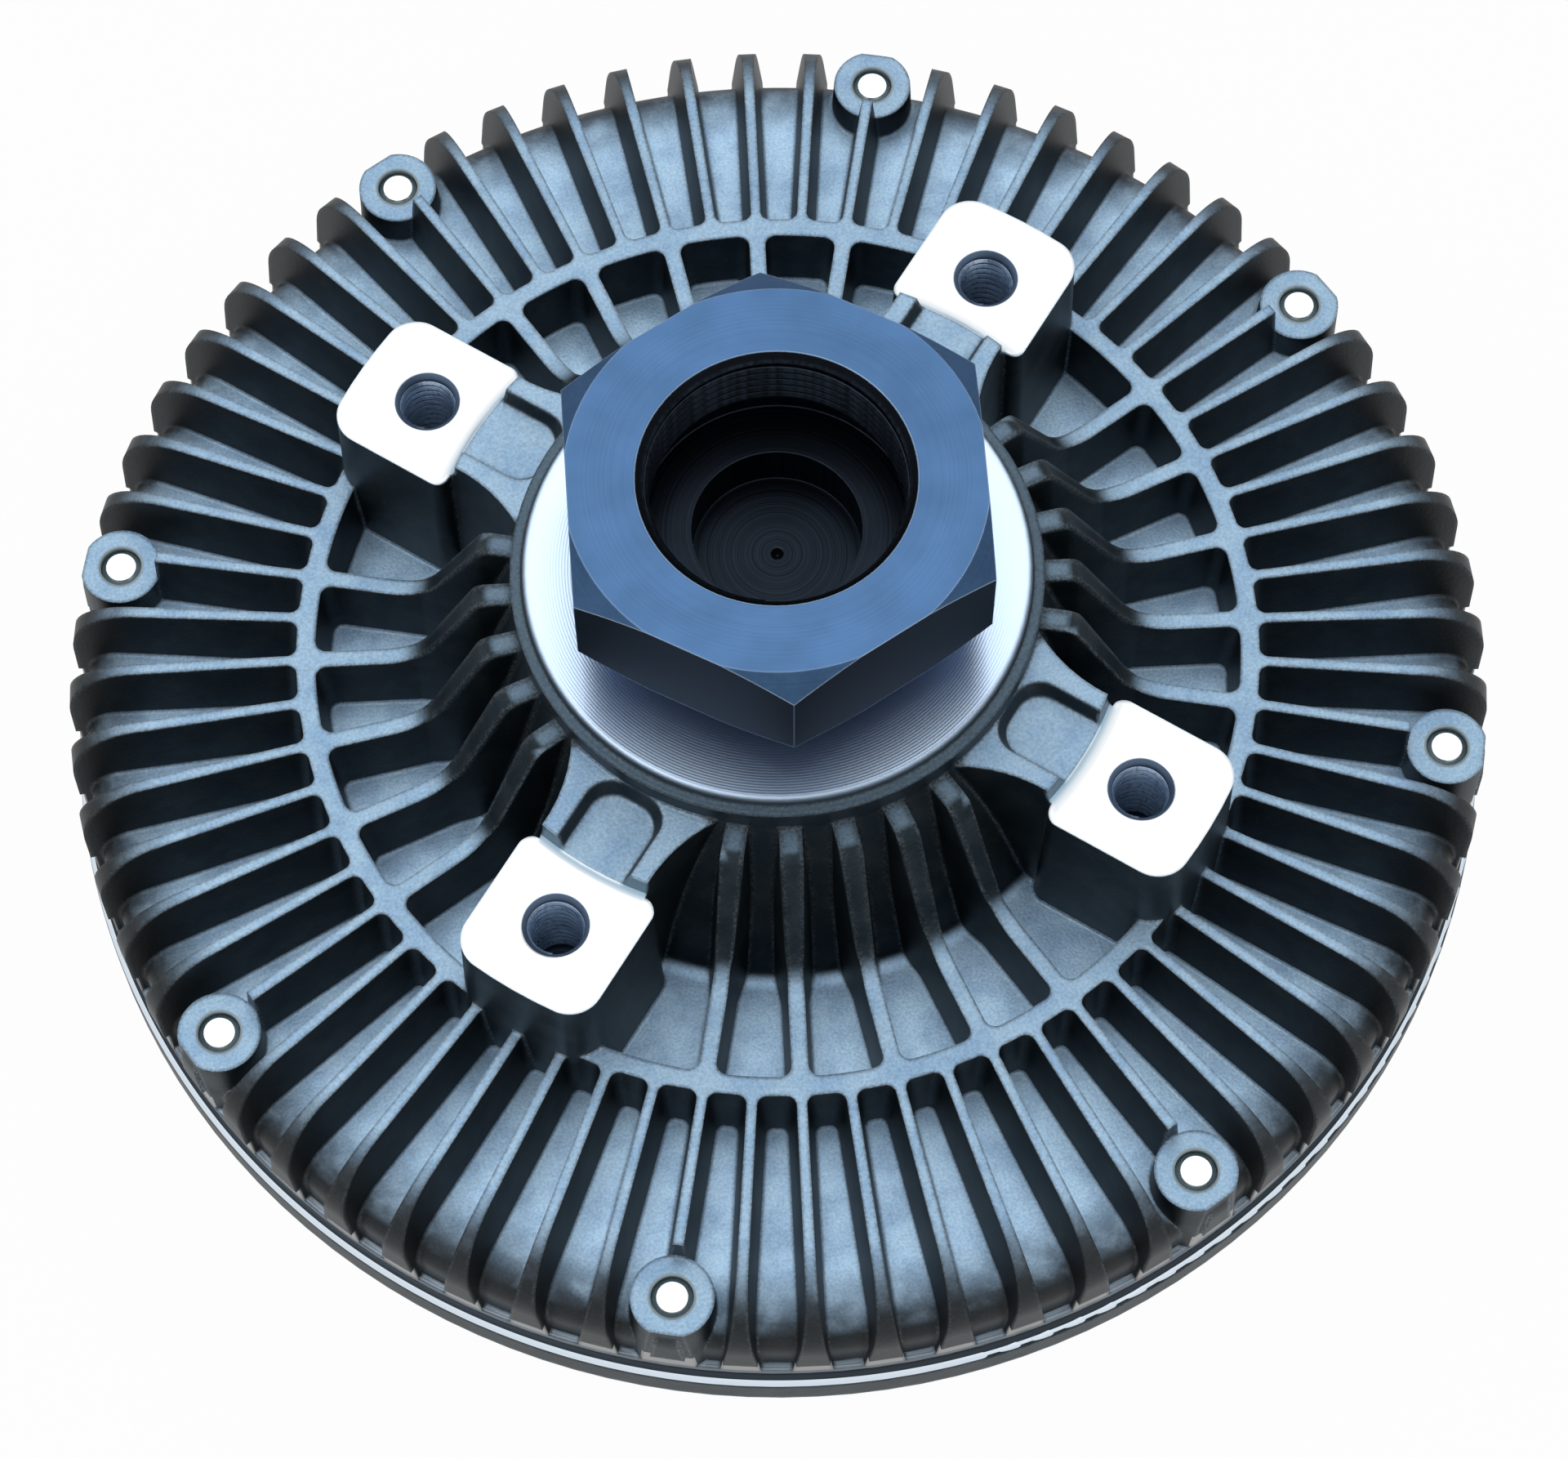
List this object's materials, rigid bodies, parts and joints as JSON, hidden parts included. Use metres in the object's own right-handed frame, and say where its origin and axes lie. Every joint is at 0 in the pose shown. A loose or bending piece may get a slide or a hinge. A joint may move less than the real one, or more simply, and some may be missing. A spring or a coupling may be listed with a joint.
{
  "type": "viscous fan clutch",
  "caption": "Viscous fan clutch with finned cast housing, fan lugs, ribbed front cover with bimetal valve, and a hex input shaft with a threaded pump bore.",
  "frame": {"origin": "on the axis of rotation, level with the tips of the front cover's ribs on which the part stands", "axes": "+Z along the axis of rotation from the front cover towards the hex of the input shaft; the four fan lugs lie at 45 degrees to +X and +Y; the wide feed hole of the separator plate and the outer end of the bimetal coil lie towards +X"},
  "size_m": [0.1772, 0.1772, 0.089],
  "materials": {
    "cast_aluminium": "die-cast, darkened, with bright machined faces",
    "cover_aluminium": "die-cast",
    "rotor_aluminium": "turned",
    "oxide_steel": "turned, black oxide",
    "bearing_steel": "ground",
    "screw_steel": "zinc plated, dulled",
    "sheet_steel": "rolled",
    "spring_steel": "phosphated",
    "bimetal": "rolled strip",
    "seal_rubber": "moulded",
    "cage_polyamide": "moulded"
  },
  "bodies": {
    "casing": {"finned_housing": "cast_aluminium", "front_cover": "cover_aluminium", "cover_screws": "screw_steel", "cover_seal_ring": "seal_rubber", "separator_plate": "sheet_steel", "plate_rivets": "screw_steel", "bearing_outer_ring": "bearing_steel", "bearing_seal_upper": "seal_rubber", "bearing_seal_lower": "seal_rubber", "bearing_retaining_ring": "spring_steel", "coil_anchor_post": "screw_steel"},
    "input": {"input_shaft": "oxide_steel", "rotor": "rotor_aluminium", "rotor_retaining_ring": "spring_steel", "bearing_inner_ring": "bearing_steel", "shaft_retaining_ring": "spring_steel"},
    "ball_train": {"bearing_balls": "bearing_steel", "bearing_cage": "cage_polyamide"},
    "valve": {"valve_shaft": "bearing_steel", "valve_shaft_ring": "seal_rubber", "valve_arm": "sheet_steel", "bimetal_coil": "bimetal"}
  },
  "joints": [
    {"name": "shaft_spin", "type": "hinge", "parent": "casing", "child": "input", "pos_m": [0, 0, 0.05], "axis": [0, 0, 1], "continuous": true},
    {"name": "cage_spin", "type": "hinge", "parent": "casing", "child": "ball_train", "pos_m": [0, 0, 0.0549], "axis": [0, 0, 1], "continuous": true},
    {"name": "valve_turn", "type": "hinge", "parent": "casing", "child": "valve", "pos_m": [0, 0, 0.01], "axis": [0, 0, 1], "range_deg": [0, 28], "stiffness_Nm_per_rad": 0.05, "deforming": ["bimetal_coil"]}
  ],
  "couplings": [
    {"joint": "cage_spin", "follows": "shaft_spin", "ratio": 0.3678}
  ]
}
